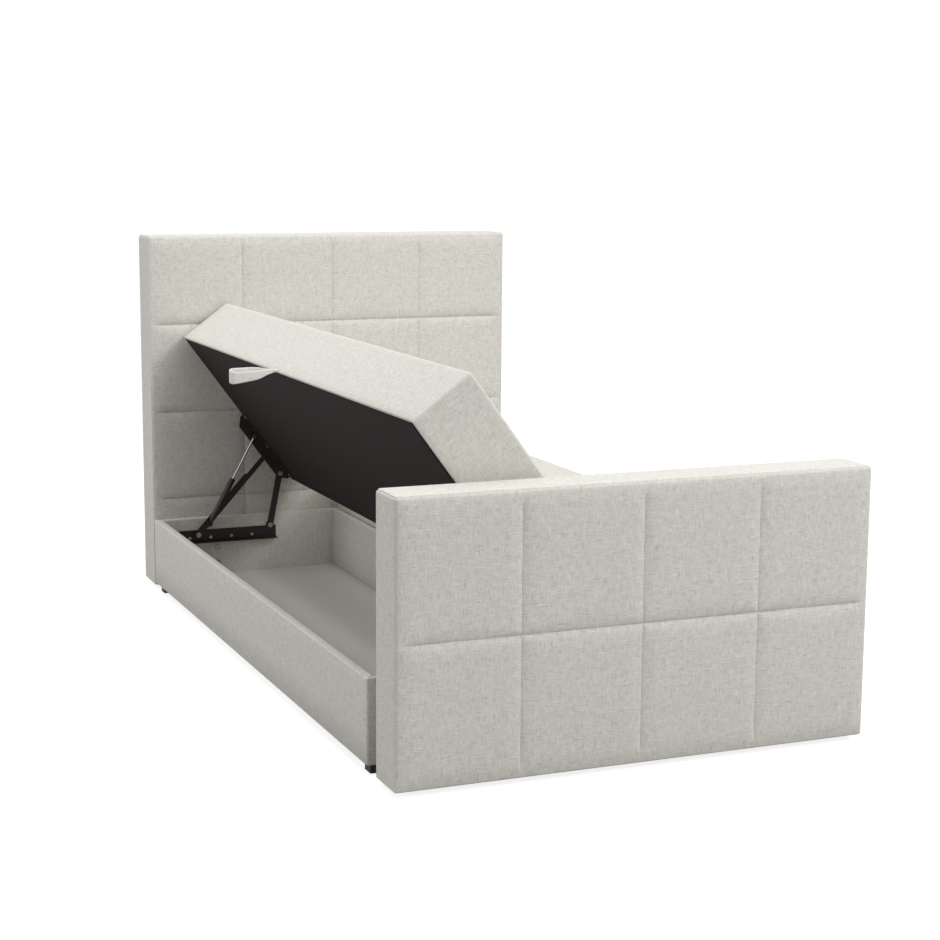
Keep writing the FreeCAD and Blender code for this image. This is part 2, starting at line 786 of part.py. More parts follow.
def base_rivets(end):
    cap = long_far + rivet_play
    long_rivet = joined([
        disc(long_base.x, long_base.z, end, bracket_plate, long_near - rivet_play, spacer_collar),
        disc(long_base.x, long_base.z, end, long_near - rivet_play, cap, rivet_shank),
        disc(long_base.x, long_base.z, end, cap, cap + rivet_thin, rivet_head),
    ])
    short_rivet = joined([
        disc(short_base.x, short_base.z, end, bracket_plate, short_far + rivet_play, rivet_shank),
        disc(short_base.x, short_base.z, end, short_far + rivet_play, cap_far, rivet_head),
    ])
    return [long_rivet, short_rivet]


def swung(solid, pivot, angle):
    solid.rotate(V(0, 0, 0), V(0, 1, 0), -angle)
    solid.translate(pivot)
    return solid


def long_arm_solid(end, state):
    # Lower edge straight; upper edge steps down before the lid end.
    step = long_arm - (gas_pivot_out - long_pivot_out + step_past_gas)
    r = long_base_round
    t = long_narrow_up
    outline = Part.Wire([
        line(V(0, 0, -r), V(r, 0, -long_down)),
        line(V(r, 0, -long_down), V(long_arm, 0, -long_down)),
        arc(V(long_arm, 0, -long_down), V(long_arm + t, 0, 0), V(long_arm, 0, t)),
        line(V(long_arm, 0, t), V(step, 0, t)),
        line(V(step, 0, t), V(step - t, 0, long_wide_up)),
        line(V(step - t, 0, long_wide_up), V(0, 0, r)),
        arc(V(0, 0, r), V(-r, 0, 0), V(0, 0, -r)),
    ])
    arm = slab(Part.Face(outline), end, long_near, long_far)
    arm = arm.cut(disc(0, 0, end, long_near - 1, long_far + 1, rivet_shank + pivot_play))
    tip = [disc(long_arm, 0, end, long_near - arm_play + rivet_play, long_far, rivet_shank),
           disc(long_arm, 0, end, long_far, long_far + rivet_thin, rivet_head)]
    cap = eye_far + rivet_play
    stud = [disc(gas_seat, 0, end, long_far, eye_near - rivet_play, gas_stud + rivet_thin),
            disc(gas_seat, 0, end, long_far, cap, gas_stud),
            disc(gas_seat, 0, end, cap, cap + rivet_thin, gas_stud + rivet_thin)]
    return swung(joined([arm] + tip + stud), long_base, long_angles[state])


def short_arm_solid(end, state):
    r = short_half
    outline = Part.Wire([
        line(V(0, 0, -r), V(short_arm, 0, -r)),
        arc(V(short_arm, 0, -r), V(short_arm + r, 0, 0), V(short_arm, 0, r)),
        line(V(short_arm, 0, r), V(0, 0, r)),
        arc(V(0, 0, r), V(-r, 0, 0), V(0, 0, -r)),
    ])
    arm = slab(Part.Face(outline), end, short_near, short_far)
    for x in (0.0, short_arm):
        arm = arm.cut(disc(x, 0, end, short_near - 1, short_far + 1, rivet_shank + pivot_play))
    return swung(arm, short_base, short_angles[state])


def along_gas(start, finish, radius, y):
    return Part.makeCylinder(radius, finish - start, V(start, y, 0), V(1, 0, 0))


def gas_cylinder(end, state):
    low, angle, length = gas_place(state)
    y = sum(layer(end, gas_mid, gas_mid)) / 2.0
    body = joined([
        disc(0, 0, end, eye_near, eye_far, gas_eye),
        along_gas(0.0, gas_body_start + 1.0, gas_neck, y),
        along_gas(gas_body_start, gas_body_end, gas_radius, y),
    ])
    body = body.cut(disc(0, 0, end, eye_near - 1, eye_far + 1, gas_stud + pivot_play))
    body = body.cut(along_gas(gas_bore_start, gas_body_end + 1, rod_radius + rod_play, y))
    return swung(body, low, angle)


def gas_rod(end, state):
    low, angle, length = gas_place(state)
    y = sum(layer(end, gas_mid, gas_mid)) / 2.0
    rod = joined([
        along_gas(length - rod_length, length, rod_radius, y),
        disc(length, 0, end, eye_near, eye_far, rod_eye),
        disc(length, 0, end, eye_near - 2.0 * rivet_play - rivet_thin, eye_near, lid_stud),
    ])
    return swung(rod, low, angle)


def linkage(state):
    return {
        "long_arms": [long_arm_solid(end, state) for end in ends],
        "short_arms": [short_arm_solid(end, state) for end in ends],
        "gas_cylinders": [gas_cylinder(end, state) for end in ends],
        "gas_rods": [gas_rod(end, state) for end in ends],
    }


def opened(shapes):
    for s in shapes:
        s.rotate(turn_centre, V(0, 1, 0), lid_open_angle)
    return shapes


def all_pieces():
    pieces = {}
    pieces.update(box_boards())
    pieces["box_cover"] = [box_cover()]
    pieces["divider_cover"] = [divider_sleeve()]
    pieces.update(floor_panels())
    pieces["floor_ledges"] = floor_ledges()
    pieces["wall_screws"] = wall_screws(0.0)
    pieces["feet"] = feet()
    pieces["foot_screws"] = foot_screws(0.0)
    pieces.update(headboard())
    pieces.update(footboard())
    pieces["panel_bolts"] = bolts(0.0)
    brackets = [base_bracket(end) for end in ends]
    rivets = [r for end in ends for r in base_rivets(end)]
    pieces["left_base_brackets"] = brackets
    pieces["right_base_brackets"] = mirrored(brackets)
    pieces["base_bracket_screws"] = base_bracket_screws(0.0)
    pieces["base_rivets"] = rivets + mirrored(rivets)
    for name, shapes in lid_pieces().items():
        pieces["right_" + name] = mirrored(shapes)
        pieces["left_" + name] = opened(shapes)
    for name, shapes in linkage(1).items():
        pieces["left_" + name] = shapes
    for name, shapes in linkage(0).items():
        pieces["right_" + name] = mirrored(shapes)
    pieces["left_pull_strap"] = [raised_strap()]
    pieces["right_pull_strap"] = [hanging_strap()]
    return pieces


os.makedirs("parts", exist_ok=True)
for node, shapes in all_pieces().items():
    shape = shapes[0] if len(shapes) == 1 else Part.makeCompound(shapes)
    shape.exportStep("parts/" + node + ".step")
    print(node, len(shape.Solids), "solids", round(shape.Volume / 1e6, 3), "litres", shape.isValid())
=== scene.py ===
import bpy
import bmesh
import math
import numpy as np
from mathutils import Matrix, Vector, noise
from mathutils.bvhtree import BVHTree


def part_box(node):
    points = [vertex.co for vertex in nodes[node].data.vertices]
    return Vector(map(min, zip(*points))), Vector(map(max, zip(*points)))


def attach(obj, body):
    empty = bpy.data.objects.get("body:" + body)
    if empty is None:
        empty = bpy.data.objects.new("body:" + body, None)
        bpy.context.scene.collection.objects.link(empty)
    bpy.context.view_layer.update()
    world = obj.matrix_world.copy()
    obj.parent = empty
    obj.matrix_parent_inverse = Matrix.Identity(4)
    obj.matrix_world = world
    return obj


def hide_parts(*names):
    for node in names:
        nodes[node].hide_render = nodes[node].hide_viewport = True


mm = 0.001
tiny = 1e-9
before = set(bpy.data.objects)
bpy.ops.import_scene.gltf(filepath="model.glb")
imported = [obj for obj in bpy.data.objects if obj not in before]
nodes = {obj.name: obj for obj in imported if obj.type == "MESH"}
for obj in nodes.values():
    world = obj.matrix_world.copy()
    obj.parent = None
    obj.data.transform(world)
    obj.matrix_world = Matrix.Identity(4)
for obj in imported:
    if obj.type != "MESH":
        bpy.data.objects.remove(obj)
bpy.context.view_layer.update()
print("frame loaded", len(nodes), "nodes")


# Shared helpers

def linearColour(hexText):
    # sRGB hex to linear RGBA
    channels = [int(hexText[i:i + 2], 16) / 255 for i in (1, 3, 5)]
    return [c / 12.92 if c <= 0.04045 else ((c + 0.055) / 1.055) ** 2.4 for c in channels] + [1.0]


def addNode(tree, kind, links=None, **settings):
    node = tree.nodes.new(kind)
    for name, value in settings.items():
        setattr(node, name, value)
    for key, value in (links or {}).items():
        if isinstance(value, bpy.types.NodeSocket):
            tree.links.new(value, node.inputs[key])
        else:
            node.inputs[key].default_value = value
    return node


def startMaterial(name):
    material = bpy.data.materials.new(name)
    material.use_nodes = True
    tree = material.node_tree
    tree.nodes.clear()
    shader = addNode(tree, "ShaderNodeBsdfPrincipled")
    addNode(tree, "ShaderNodeOutputMaterial", {"Surface": shader.outputs["BSDF"]})
    return material, tree, shader


def smoothStep(low, high, value):
    t = np.clip((value - low) / (high - low), 0, 1)
    return t * t * (3 - 2 * t)


def meshPoints(obj):
    return np.array([v.co for v in obj.data.vertices])


def meshObject(name, verts, faces, material, uvs=None):
    mesh = bpy.data.meshes.new(name)
    mesh.from_pydata([tuple(v) for v in verts], [], faces)
    if uvs is not None:
        layer = mesh.uv_layers.new(name="clothUv")
        layer.data.foreach_set("uv", np.asarray(uvs, np.float32).ravel())
    mesh.polygons.foreach_set("use_smooth", [True] * len(mesh.polygons))
    mesh.materials.append(material)
    mesh.update()
    obj = bpy.data.objects.new(name, mesh)
    bpy.context.scene.collection.objects.link(obj)
    return obj


def dressPiece(obj, body, replaced):
    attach(obj, body)
    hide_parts(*replaced)


# Materials

linenValues = {
    "slubThick": 2.1 * mm,
    "slubLong": 22 * mm,
    "slubShifts": (0.0, 7.3),      # one set of slubs for the dark yarn and one for the pale
    "darkStops": (0.24, 0.44),
    "paleStops": (0.56, 0.76),
    "warmSpot": 16 * mm,
    "warmStops": (0.3, 0.55),
    "warmTints": ("#FCF9F2", "#FFFFFF"),
    "thread": 2.2 * mm,
    "threadWander": 0.6,
    "weaveShare": 0.35,
    "reliefStrength": 0.35,
    "reliefDeep": 0.8 * mm,
}


def linenMaterial(name, dark, middle, light, values):
    # Woven linen-look polyester: matt, with short dark and pale slubs along both thread directions.
    # Slubs and threads are drawn 2 mm thick, coarser than the real 1 mm, so that they show in the render.
    material, tree, shader = startMaterial(name)
    uv = addNode(tree, "ShaderNodeUVMap", uv_map="clothUv").outputs["UV"]
    thick, along = 1 / values["slubThick"], 1 / values["slubLong"]
    slubs = []
    for shift in values["slubShifts"]:
        for scale in ((along, thick, 1), (thick, along, 1)):
            place = addNode(tree, "ShaderNodeMapping",
                            {"Vector": uv, "Scale": scale, "Location": (shift, shift, shift)})
            slub = addNode(tree, "ShaderNodeTexNoise",
                           {"Vector": place.outputs[0], "Scale": 1.0, "Detail": 1.0, "Roughness": 0.5})
            slubs.append(slub.outputs["Fac"])
    darkSlubs = addNode(tree, "ShaderNodeMath", {0: slubs[0], 1: slubs[1]}, operation="MINIMUM").outputs[0]
    paleSlubs = addNode(tree, "ShaderNodeMath", {0: slubs[2], 1: slubs[3]}, operation="MAXIMUM").outputs[0]
    ramp = addNode(tree, "ShaderNodeValToRGB", {"Fac": darkSlubs})
    for stop, position, colour in zip(ramp.color_ramp.elements, values["darkStops"], (dark, middle)):
        stop.position = position
        stop.color = linearColour(colour)
    paleFrom, paleTo = values["paleStops"]
    paleShare = addNode(tree, "ShaderNodeMapRange", {0: paleSlubs, 1: paleFrom, 2: paleTo}).outputs[0]
    yarn = addNode(tree, "ShaderNodeMix", {0: paleShare, 6: ramp.outputs[0], 7: linearColour(light)},
                   data_type="RGBA").outputs[2]
    spots = addNode(tree, "ShaderNodeTexNoise",
                    {"Vector": uv, "Scale": 1 / values["warmSpot"], "Detail": 3.0})
    tint = addNode(tree, "ShaderNodeValToRGB", {"Fac": spots.outputs["Fac"]})
    for stop, position, colour in zip(tint.color_ramp.elements, values["warmStops"], values["warmTints"]):
        stop.position = position
        stop.color = linearColour(colour)
    tinted = addNode(tree, "ShaderNodeMix", {0: 1.0, 6: yarn, 7: tint.outputs[0]}, data_type="RGBA",
                     blend_type="MULTIPLY").outputs[2]
    waveScale = 1 / (values["thread"] * 2 * math.pi)
    waves = []
    for axis in ("X", "Y"):
        wave = addNode(tree, "ShaderNodeTexWave",
                       {"Vector": uv, "Scale": waveScale, "Detail": 1.0,
                        "Distortion": values["threadWander"]}, bands_direction=axis)
        waves.append(wave.outputs["Fac"])
    weave = addNode(tree, "ShaderNodeMath", {0: waves[0], 1: waves[1]}, operation="MAXIMUM").outputs[0]
    relief = addNode(tree, "ShaderNodeMath", {0: weave, 1: values["weaveShare"], 2: darkSlubs},
                     operation="MULTIPLY_ADD").outputs[0]
    bump = addNode(tree, "ShaderNodeBump", {"Height": relief, "Strength": values["reliefStrength"],
                                            "Distance": values["reliefDeep"]})
    tree.links.new(tinted, shader.inputs["Base Color"])
    tree.links.new(bump.outputs[0], shader.inputs["Normal"])
    shader.inputs["Roughness"].default_value = 0.93
    shader.inputs["Specular IOR Level"].default_value = 0.25
    shader.inputs["Sheen Weight"].default_value = 0.1
    shader.inputs["Sheen Roughness"].default_value = 0.6
    return material


grainValues = {"stops": (0.35, 0.65), "glossSpread": 0.08, "reliefStrength": 0.6}


def surfaceMaterial(name, dark, light, size, roughness, metallic=0.0, relief=0.0, detail=3.0,
                    stretch=(1, 1, 1), specular=0.5):
    # Two tones of one finish over a grain of the given size, with roughness that follows the grain.
    material, tree, shader = startMaterial(name)
    place = addNode(tree, "ShaderNodeTexCoord").outputs["Object"]
    scaled = addNode(tree, "ShaderNodeMapping", {"Vector": place, "Scale": [s / size for s in stretch]})
    grain = addNode(tree, "ShaderNodeTexNoise",
                    {"Vector": scaled.outputs[0], "Scale": 1.0, "Detail": detail}).outputs["Fac"]
    ramp = addNode(tree, "ShaderNodeValToRGB", {"Fac": grain})
    for stop, position, colour in zip(ramp.color_ramp.elements, grainValues["stops"], (dark, light)):
        stop.position = position
        stop.color = linearColour(colour)
    spread = grainValues["glossSpread"]
    gloss = addNode(tree, "ShaderNodeMapRange", {0: grain, 3: roughness - spread, 4: roughness + spread})
    tree.links.new(ramp.outputs[0], shader.inputs["Base Color"])
    tree.links.new(gloss.outputs[0], shader.inputs["Roughness"])
    shader.inputs["Metallic"].default_value = metallic
    shader.inputs["Specular IOR Level"].default_value = specular
    if relief:
        bump = addNode(tree, "ShaderNodeBump", {"Height": grain, "Strength": grainValues["reliefStrength"],
                                                "Distance": relief})
        tree.links.new(bump.outputs[0], shader.inputs["Normal"])
    return material


# greige yarns of three tones: a soft stone-coloured mix
linen = linenMaterial("linenLookWovenPolyester", "#B2AFA8", "#CFCDC7", "#DDDBD6", linenValues)
# the same weave in paler yarn
strapLinen = linenMaterial("linenLookWovenStrap", "#C8C5BF", "#E2E0DC", "#EEEDEA", linenValues)
# twisted thread: dull, a shade darker than the cover, and pale on the straps
thread = surfaceMaterial("polyesterSewingThread", "#A5A29A", "#B9B6AF", 3 * mm, 0.75)
paleThread = surfaceMaterial("polyesterSewingThreadPale", "#DEDCD7", "#EFEEEA", 3 * mm, 0.75)
# bonded fibres: flat black with a faint mottle
nonwoven = surfaceMaterial("spunbondPolypropyleneBlack", "#1B1918", "#2A2726", 5 * mm, 0.85,
                           relief=0.25 * mm, specular=0.12)
# baked powder: satin black with a fine orange peel
blackSteel = surfaceMaterial("powderCoatedSteelBlack", "#0F0D0B", "#211D19", 2.2 * mm, 0.42,
                             relief=0.06 * mm)
# plated steel: mid grey metal in soft patches
zincSteel = surfaceMaterial("zincPlatedSteel", "#8F8D87", "#B8B6B0", 4 * mm, 0.34, metallic=1.0)
# ground and plated rod: smoother, with a narrow highlight
rodSteel = surfaceMaterial("groundChromedRod", "#8C8C8A", "#A6A6A4", 1.2 * mm, 0.2, metallic=1.0)
# moulded plastic: even, dull black
blackAbs = surfaceMaterial("mouldedAbsBlack", "#0A0A0A", "#151414", 1.6 * mm, 0.55, relief=0.08 * mm,
                           specular=0.2)
# pressed flakes: mottled tan
chipboard = surfaceMaterial("pressedChipboard", "#A07C50", "#C9AA7C", 5 * mm, 0.8, relief=0.2 * mm,
                            detail=5.0)
# printed face on fibreboard: flat and pale
hardboard = surfaceMaterial("whiteFacedHardboard", "#CFCCC6", "#DAD8D3", 3 * mm, 0.55, relief=0.05 * mm,
                            detail=4.0)
# planed softwood: warm, its grain drawn out along Y
spruce = surfaceMaterial("planedSpruce", "#C69F68", "#E0C08C", 6 * mm, 0.66, stretch=(1, 0.06, 1))
# the same wood coloured black as painted shade, so that the gap between box and footboard reads dark
gapShadeSpruce = surfaceMaterial("blackStainedSpruce", "#151210", "#28221D", 6 * mm, 0.6,
                                stretch=(1, 0.06, 1), specular=0.2)
print("materials made")


# Finishes and edges of the hard pieces, by the endings of their names

nodeFinishes = (
    (blackSteel, ("base_brackets", "lid_brackets", "long_arms", "short_arms", "gas_cylinders")),
    (zincSteel, ("screws", "rivets", "bolts")),
    (rodSteel, ("gas_rods",)),
    (blackAbs, ("feet",)),
    (chipboard, ("wall_board", "divider_board", "headboard_board", "footboard_boards", "base_board")),
    (hardboard, ("floor_panel",)),
    (spruce, ("_frame", "ledges")),
    # the spacers are coloured black as painted shade of the gap they stand in
    (gapShadeSpruce, ("spacers",)),
)
edgeValues = {
    "bevelled": ("brackets", "arms", "gas_cylinders", "rivets", "screws", "feet", "bolts"),
    "width": 0.7 * mm,
    "segments": 2,
    "sharperThan": 35,
    "weldWithin": 0.01 * mm,
}
for nodeName, nodeObject in nodes.items():
    for finish, endings in nodeFinishes:
        if nodeName.endswith(endings):
            nodeObject.data.materials.clear()
            nodeObject.data.materials.append(finish)
    if nodeName.endswith(edgeValues["bevelled"]):
        weld = nodeObject.modifiers.new("weld", "WELD")
        weld.merge_threshold = edgeValues["weldWithin"]
        bevel = nodeObject.modifiers.new("edge", "BEVEL")
        bevel.width = edgeValues["width"]
        bevel.segments = edgeValues["segments"]
        bevel.limit_method = "ANGLE"
        bevel.angle_limit = math.radians(edgeValues["sharperThan"])
print("hard pieces finished")


# Rounded forms on a grid that keeps its lines where the sewing is

gridValues = {"roundSteps": 5, "seamShares": (-1.5, -0.5, 0, 0.5, 1.5), "tooClose": 0.01 * mm}


def gridLines(low, high, roundLow, roundHigh, spacing, sewn=(), seamStep=0.0):
    # Places along one axis, closer together over the rounded ends and beside each sewn line.
    steps = gridValues["roundSteps"]
    angles = [math.pi / 4 * i / steps for i in range(steps + 1)]
    left, right = low + roundLow, high - roundHigh
    lines = [left - roundLow * math.tan(a) for a in angles]
    lines += [right + roundHigh * math.tan(a) for a in angles]
    stops = [left, *sewn, right]
    for start, end in zip(stops, stops[1:]):
        count = max(2, round((end - start) / spacing))
        lines += [start + (end - start) * i / count for i in range(1, count)]
    for place in sewn:
        lines += [place + seamStep * share for share in gridValues["seamShares"]]
    lines.sort()
    kept = [lines[0]]
    for value in lines[1:]:
        if value - kept[-1] > gridValues["tooClose"]:
            kept.append(value)
    return np.array(kept)


def roundedForm(xs, ys, zs, roundLow, roundHigh):
    # Quads all over a box, pulled in to rounded edges. Sides are numbered -X +X -Y +Y -Z +Z.
    nx, ny, nz = len(xs), len(ys), len(zs)
    index, places, faces, sides = {}, [], [], []

    def spot(i, j, k):
        key = (i, j, k)
        if key not in index:
            index[key] = len(places)
            places.append((xs[i], ys[j], zs[k]))
        return index[key]

    def patch(side, corner, na, nb, flip):
        for a in range(na - 1):
            for b in range(nb - 1):
                quad = [spot(*corner(a, b)), spot(*corner(a + 1, b)), spot(*corner(a + 1, b + 1)),
                        spot(*corner(a, b + 1))]
                faces.append(quad[::-1] if flip else quad)
                sides.append(side)

    patch(0, lambda a, b: (0, a, b), ny, nz, True)
    patch(1, lambda a, b: (nx - 1, a, b), ny, nz, False)
    patch(2, lambda a, b: (a, 0, b), nx, nz, False)
    patch(3, lambda a, b: (a, ny - 1, b), nx, nz, True)
    patch(4, lambda a, b: (a, b, 0), nx, ny, True)
    patch(5, lambda a, b: (a, b, nz - 1), nx, ny, False)
    sharp = np.array(places)
    low = np.array([xs[0], ys[0], zs[0]])
    high = np.array([xs[-1], ys[-1], zs[-1]])
    roundLow, roundHigh = np.array(roundLow), np.array(roundHigh)
    core = np.clip(sharp, low + roundLow, high - roundHigh)
    off = sharp - core
    radius = np.where(off < 0, roundLow, roundHigh)
    share = off / radius
    length = np.maximum(np.linalg.norm(share, axis=1), tiny)[:, None]
    verts = core + radius * share / length
    return verts, faces, np.array(sides), sharp


def clothUvs(points, faces, sides):
    # Each side is laid flat in metres, so that the weave keeps its real size.
    axes = {0: (1, 2), 1: (1, 2), 2: (0, 2), 3: (0, 2), 4: (0, 1), 5: (0, 1)}
    return [points[v][list(axes[s])] for f, s in zip(faces, sides) for v in f]


def rimDistance(points, low, high, axes):
    gaps = []
    for axis in axes:
        gaps += [points[:, axis] - low[axis], high[axis] - points[:, axis]]
    return np.min(gaps, axis=0)


clothValues = {
    "quality": 4,
    "mass": 0.25,
    "tension_stiffness": 12,
    "compression_stiffness": 8,
    "shear_stiffness": 6,
    "bending_stiffness": 0.6,
}


def puff(obj, held, values):
    # Cloth under pressure from inside, fixed at the held points, each other point free to move by the cap.
    rest = meshPoints(obj)
    group = obj.vertex_groups.new(name="held")
    group.add([int(i) for i in np.nonzero(held)[0]], 1.0, "REPLACE")
    cloth = obj.modifiers.new("cloth", "CLOTH")
    for name, value in clothValues.items():
        setattr(cloth.settings, name, value)
    cloth.settings.shrink_min = -values["slack"]
    cloth.settings.use_pressure = True
    cloth.settings.uniform_pressure_force = values["pressure"]
    cloth.settings.vertex_group_mass = "held"
    cloth.settings.effector_weights.gravity = 0.0
    cloth.collision_settings.use_collision = False
    cloth.point_cache.frame_start = 1
    cloth.point_cache.frame_end = values["frames"]
    for step in range(1, values["frames"] + 1):
        bpy.context.scene.frame_set(step)
    moved = meshPoints(obj.evaluated_get(bpy.context.evaluated_depsgraph_get()))
    obj.modifiers.remove(cloth)
    obj.vertex_groups.remove(group)
    bpy.context.scene.frame_set(1)
    shift = moved - rest
    length = np.maximum(np.linalg.norm(shift, axis=1), tiny)[:, None]
    shift *= np.minimum(1.0, values["cap"] / length)
    obj.data.vertices.foreach_set("co", (rest + shift).ravel())
    obj.data.update()
    print("puffed", obj.name, "most", round(float(np.linalg.norm(shift, axis=1).max()) / mm, 2), "mm")


def subdivide(obj):
    finer = obj.modifiers.new("finer", "SUBSURF")
    finer.levels = finer.render_levels = 1


# Sewn headboard and footboard pads

padValues = {
    "columns": 4,
    "fill": 0.85,
    "bottomRound": 4 * mm,
    "cornerFold": 2.4 * mm,
    "frontIn": 1.5 * mm,
    "seamEnd": 34 * mm,            # each seam stops this far from the pad's edge
    "fadeBefore": 14 * mm,         # and fades out over these lengths beside its end
    "fadeAfter": 12 * mm,
    "seamStep": 3.2 * mm,
    "uprightFold": 3.2 * mm,
    "levelFold": 4.6 * mm,
    "foldHalf": 2.6 * mm,
    "uprightPillow": 1.0 * mm,
    "levelPillow": 2.4 * mm,
    "pillowHalf": 8 * mm,
    "edgeDeep": 5 * mm,
    "edgeHalf": 11 * mm,
    "nearLine": 2.5 * mm,
    "heldDeep": 1.5 * mm,
    "looseFrom": 16 * mm,
    "rimWide": 18 * mm,
    "rimSlope": 4 * mm,
    "pressure": 1.6,
    "frames": 14,
    "cap": 1.5 * mm,
    "slack": 0.003,
}
headPadValues = {"rows": 4, "round": 8 * mm, "rearRound": 7 * mm, "rearDip": 5 * mm, "spacing": 18 * mm}
footPadValues = {"rows": 2, "round": 11 * mm, "rearRound": 11 * mm, "rearDip": 0.0, "spacing": 15 * mm}


def seamPlaces(low, high, parts):
    return [low + (high - low) * i / parts for i in range(1, parts)]


def sewnDepth(x, z, low, high, uprights, levels, values):
    # How far the front is drawn in: a narrow fold on each seam and the slope of the padding beside it.
    end, before, after = values["seamEnd"], values["fadeBefore"], values["fadeAfter"]
    fold = np.zeros_like(x)
    pillow = np.zeros_like(x)
    seams = [(place, x, z, low[2], high[2], "upright") for place in uprights]
    seams += [(place, z, x, low[0], high[0], "level") for place in levels]
    for place, across, along, first, last, kind in seams:
        away = np.abs(across - place)
        inside = smoothStep(first + end - before, first + end + after, along)
        inside *= 1 - smoothStep(last - end - after, last - end + before, along)
        fold = np.maximum(fold, values[kind + "Fold"] * inside * np.exp(-(away / values["foldHalf"]) ** 2))
        pillow = np.maximum(pillow, values[kind + "Pillow"] * inside * np.exp(-away / values["pillowHalf"]))
    return fold + pillow


def sewnPad(name, node, own, values):
    low, high = (np.array(c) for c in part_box(node))
    edge, rearEdge, bottom, spacing = own["round"], own["rearRound"], values["bottomRound"], own["spacing"]
    uprights = seamPlaces(low[0], high[0], values["columns"])
    levels = seamPlaces(low[2], high[2], own["rows"])
    xs = gridLines(low[0], high[0], edge, edge, spacing, uprights, values["seamStep"])
    ys = gridLines(low[1], high[1], edge, rearEdge, spacing)
    zs = gridLines(low[2], high[2], bottom, edge, spacing, levels, values["seamStep"])
    verts, faces, sides, sharp = roundedForm(xs, ys, zs, (edge, edge, bottom), (edge, rearEdge, edge))
    front = np.isclose(sharp[:, 1], low[1])
    rear = np.isclose(sharp[:, 1], high[1])
    inRim = rimDistance(sharp, low, high, (0, 2))
    depth = sewnDepth(verts[:, 0], verts[:, 2], low, high, uprights, levels, values)
    onLine = np.zeros(len(verts), bool)
    for axis, places in ((0, uprights), (2, levels)):
        for place in places:
            onLine |= np.isclose(sharp[:, axis], place, atol=values["nearLine"])
    held = ~front | (inRim < values["looseFrom"]) | (onLine & (depth > values["heldDeep"]))
    # the front panel falls away softly towards its edges
    frontShare = np.clip(1 - (verts[:, 1] - low[1]) / edge, 0, 1)
    softEdge = values["edgeDeep"] * np.exp(-inRim / values["edgeHalf"])
    verts[:, 1] += (depth + softEdge + values["frontIn"]) * frontShare
    # the back lies deeper than its rim
    inBack = smoothStep(values["rimWide"], values["rimWide"] + values["rimSlope"], inRim)
    verts[:, 1] -= np.where(rear, own["rearDip"] * inBack, 0)
    # the cover is folded over at its upper corners
    for x, inward in ((low[0], 1), (high[0], -1)):
        corner = np.isclose(sharp[:, 0], x) & np.isclose(sharp[:, 2], high[2])
        verts[corner, 0] += inward * values["cornerFold"]
        verts[corner, 2] -= values["cornerFold"]
    pad = meshObject(name, verts, faces, linen, clothUvs(sharp, faces, sides))
    puff(pad, held, values)
    subdivide(pad)
    dressPiece(pad, "bed_base", [node])
    return pad, low, high, uprights, levels


headPad = sewnPad("headboardPad", "headboard_pad", headPadValues, padValues)
footPad = sewnPad("footboardPad", "footboard_pad", footPadValues, padValues)
print("sewn pads made")


# Stitches that follow a line: a Geometry Nodes tree lays small thread loops along a curve

stitchValues = {"Pitch": 6 * mm, "Stitch Length": 4.6 * mm, "Thread Radius": 0.55 * mm}
seamStitch = {"Pitch": 7 * mm, "Stitch Length": 5.4 * mm, "Thread Radius": 0.8 * mm}
seamLine = {"castFrom": 50 * mm, "steps": 120, "lift": 0.1 * mm}


def stitchTree():
    arcPoints, ringPoints, endThick = 5, 5, 0.25
    tree = bpy.data.node_groups.new("stitchRow", "GeometryNodeTree")
    face = tree.interface
    face.new_socket("Line", in_out="INPUT", socket_type="NodeSocketGeometry")
    for label, value in stitchValues.items():
        face.new_socket(label, in_out="INPUT", socket_type="NodeSocketFloat").default_value = value
    face.new_socket("Thread", in_out="INPUT", socket_type="NodeSocketMaterial")
    face.new_socket("Stitches", in_out="OUTPUT", socket_type="NodeSocketGeometry")
    start = addNode(tree, "NodeGroupInput")
    points = addNode(tree, "GeometryNodeCurveToPoints",
                     {"Curve": start.outputs["Line"], "Length": start.outputs["Pitch"]}, mode="LENGTH")
    half = addNode(tree, "ShaderNodeMath", {0: start.outputs["Stitch Length"], 1: 0.5},
                   operation="MULTIPLY")
    less = addNode(tree, "ShaderNodeMath", {0: half.outputs[0], 1: -1.0}, operation="MULTIPLY")
    ends = [addNode(tree, "ShaderNodeCombineXYZ", {"Z": s.outputs[0]}).outputs[0] for s in (less, half)]
    bar = addNode(tree, "GeometryNodeCurvePrimitiveLine", {"Start": ends[0], "End": ends[1]})
    arc = addNode(tree, "GeometryNodeResampleCurve", {"Curve": bar.outputs[0], "Count": arcPoints})
    # thick in the middle of a stitch and thin where it dives into the cloth
    factor = addNode(tree, "GeometryNodeSplineParameter").outputs["Factor"]
    bow = addNode(tree, "ShaderNodeMath", {0: factor, 1: math.pi}, operation="MULTIPLY")
    rise = addNode(tree, "ShaderNodeMath", {0: bow.outputs[0]}, operation="SINE")
    thick = addNode(tree, "ShaderNodeMath", {0: rise.outputs[0], 1: 1 - endThick, 2: endThick},
                    operation="MULTIPLY_ADD")
    ring = addNode(tree, "GeometryNodeCurvePrimitiveCircle",
                   {"Resolution": ringPoints, "Radius": start.outputs["Thread Radius"]})
    body = addNode(tree, "GeometryNodeCurveToMesh",
                   {"Curve": arc.outputs[0], "Profile Curve": ring.outputs[0], "Scale": thick.outputs[0],
                    "Fill Caps": True})
    laid = addNode(tree, "GeometryNodeInstanceOnPoints",
                   {"Points": points.outputs["Points"], "Instance": body.outputs[0],
                    "Rotation": points.outputs["Rotation"]})
    real = addNode(tree, "GeometryNodeRealizeInstances", {0: laid.outputs[0]})
    done = addNode(tree, "GeometryNodeSetMaterial",
                   {"Geometry": real.outputs[0], "Material": start.outputs["Thread"]})
    addNode(tree, "NodeGroupOutput", {0: done.outputs[0]})
    return tree


stitches = stitchTree()


